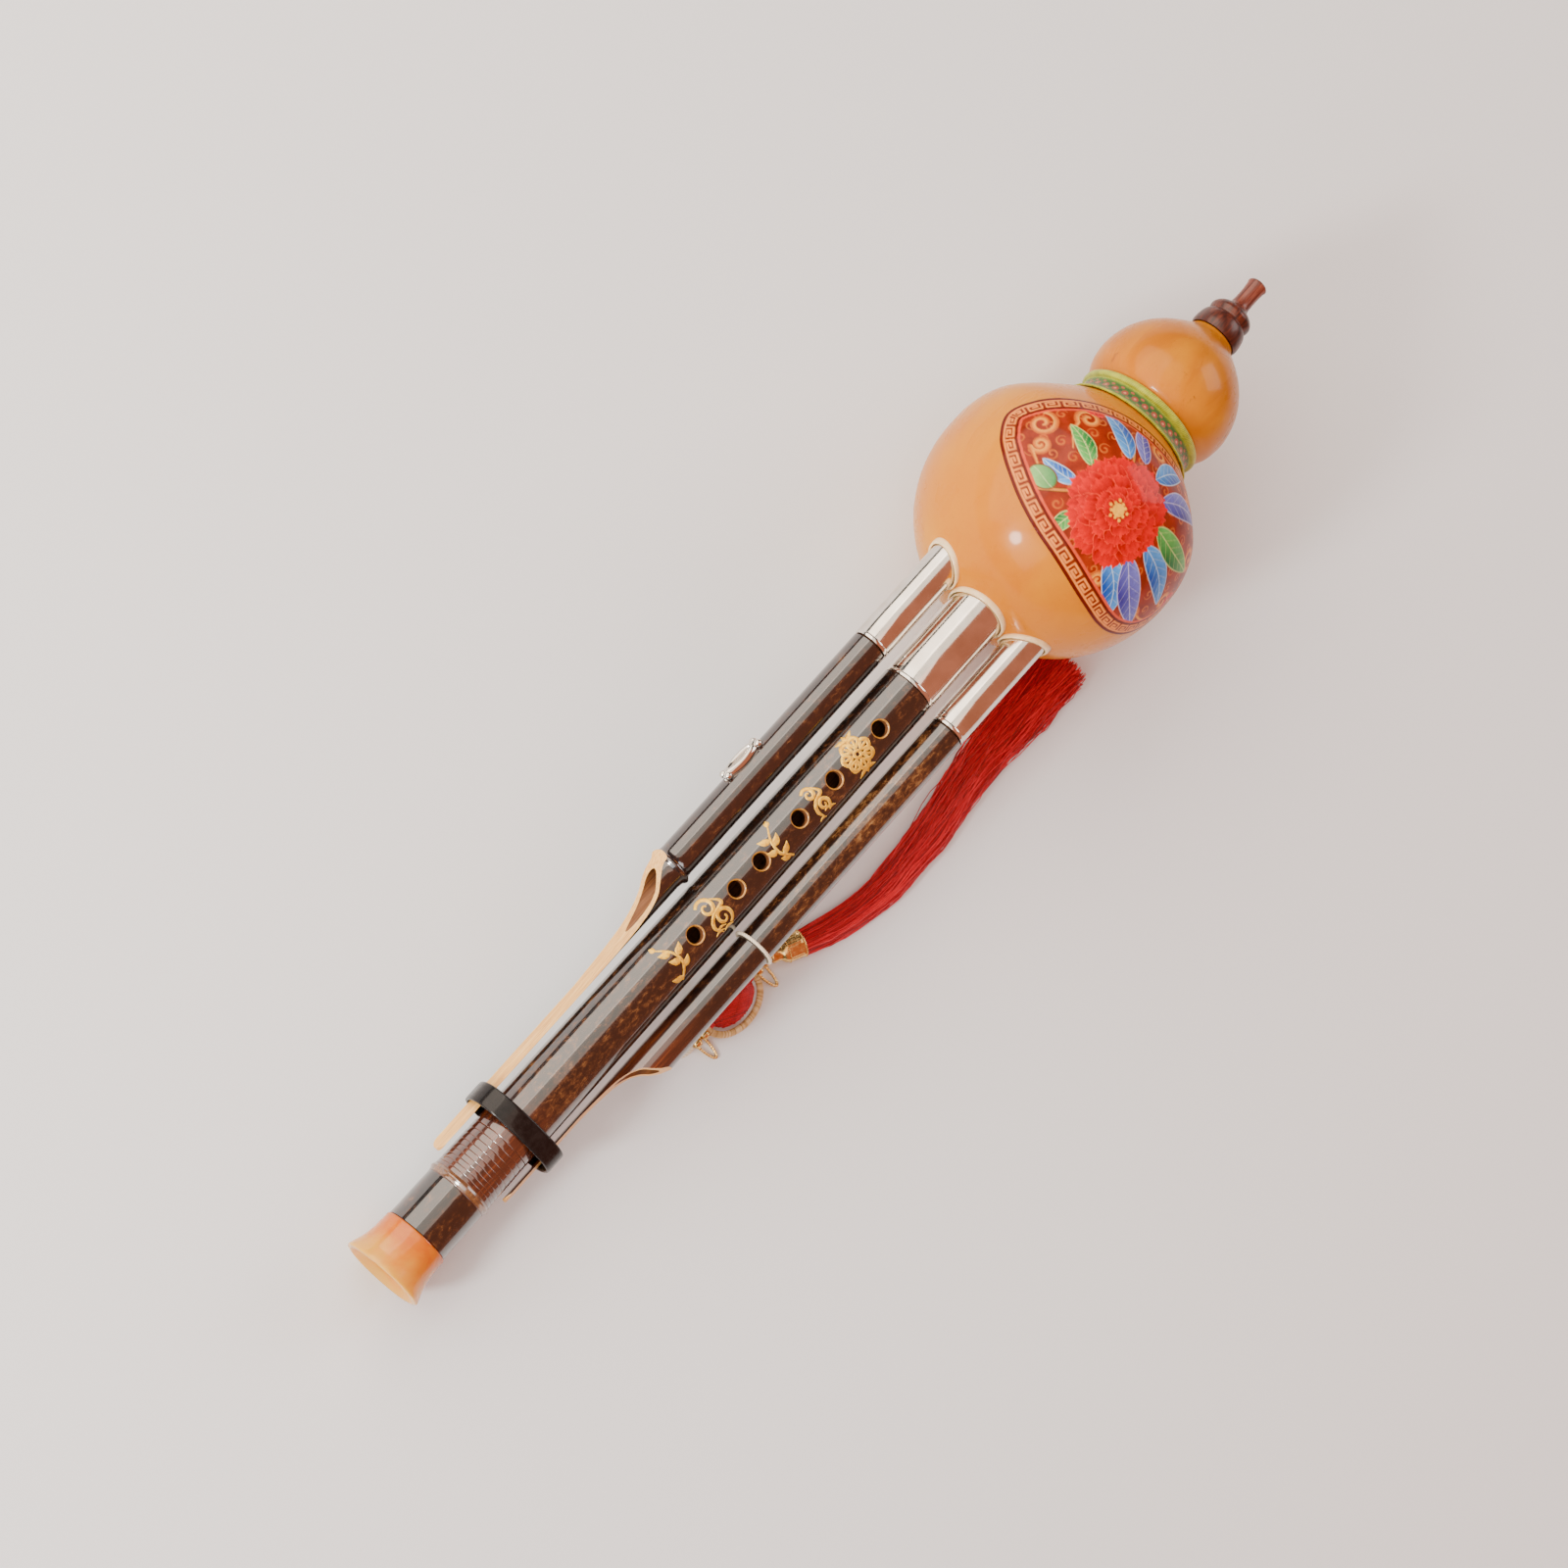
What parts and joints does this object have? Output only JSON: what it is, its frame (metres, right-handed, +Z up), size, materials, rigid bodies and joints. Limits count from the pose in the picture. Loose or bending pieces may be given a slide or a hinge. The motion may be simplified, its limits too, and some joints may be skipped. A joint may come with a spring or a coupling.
{
  "type": "gourd flute",
  "caption": "Gourd flute with a painted gourd wind chest, a melody pipe between two scooped drones, nickel ferrules, turned mouthpiece and a silk tassel.",
  "frame": {"origin": "on the surface it lies on, under the middle of its bounding box without the tassel", "axes": "+X runs from the bell foot to the mouthpiece, +Y to the side of the longer scooped drone with the escutcheon, +Z up, out of the finger holes"},
  "size_m": [0.4308, 0.0959, 0.0891],
  "materials": {
    "gourd": "lacquered, glossy",
    "ribbon": "printed band, satin",
    "rosewood": "turned and polished",
    "cork": "raw cork",
    "cream": "glossy",
    "nickel": "bright nickel plate",
    "pale_bamboo": "raw",
    "brass": "rolled sheet",
    "dark_bamboo": "mottled, lacquered",
    "thread": "waxed thread",
    "amber": "translucent, glossy",
    "black_ring": "glossy",
    "cream_cord": "silk cord",
    "gilt": "gilt",
    "silk": "silk"
  },
  "bodies": {
    "gourd": {"gourd_shell": "gourd", "waist_band": "ribbon", "main_collar": "cream", "left_collar": "cream", "right_collar": "cream", "main_ferrule": "nickel", "left_ferrule": "nickel", "right_ferrule": "nickel", "main_reed_head": "pale_bamboo", "left_reed_head": "pale_bamboo", "right_reed_head": "pale_bamboo", "main_reed": "brass", "left_reed": "brass", "right_reed": "brass", "tassel_loop": "cream_cord", "tassel_cord": "cream_cord", "tassel_bead_1": "gilt", "tassel_bead_2": "gilt", "tassel_head_wire": "gilt", "tassel_ring": "gilt", "tassel_knot": "silk", "tassel_bead_3": "gilt", "tassel_bead_4": "gilt", "tassel_foot_wire": "gilt", "tassel_cap": "gilt", "tassel_fringe": "silk"},
    "mouthpiece": {"mouthpiece": "rosewood", "mouthpiece_cork": "cork"},
    "main_pipe": {"main_pipe": "dark_bamboo", "main_lapping": "thread", "bell_foot": "amber"},
    "left_drone": {"left_drone": "dark_bamboo", "left_lapping": "thread", "left_escutcheon": "nickel"},
    "right_drone": {"right_drone": "dark_bamboo", "right_lapping": "thread"},
    "binding_ring": {"binding_ring": "black_ring"}
  },
  "joints": [
    {"name": "main_pipe_tuning", "type": "slide", "parent": "gourd", "child": "main_pipe", "axis": [-0.9924, 0, -0.123], "range_m": [0, 0.01]},
    {"name": "left_drone_draw", "type": "slide", "parent": "gourd", "child": "left_drone", "axis": [-0.9924, 0, -0.123], "range_m": [0, 0.008]},
    {"name": "right_drone_draw", "type": "slide", "parent": "gourd", "child": "right_drone", "axis": [-0.9924, 0, -0.123], "range_m": [0, 0.008]},
    {"name": "ring_shift", "type": "slide", "parent": "main_pipe", "child": "binding_ring", "axis": [0.9924, 0, 0.123], "range_m": [-0.006, 0.01]},
    {"name": "mouthpiece_draw", "type": "slide", "parent": "gourd", "child": "mouthpiece", "axis": [0.9982, 0, 0.0604], "range_m": [0, 0.012]}
  ]
}
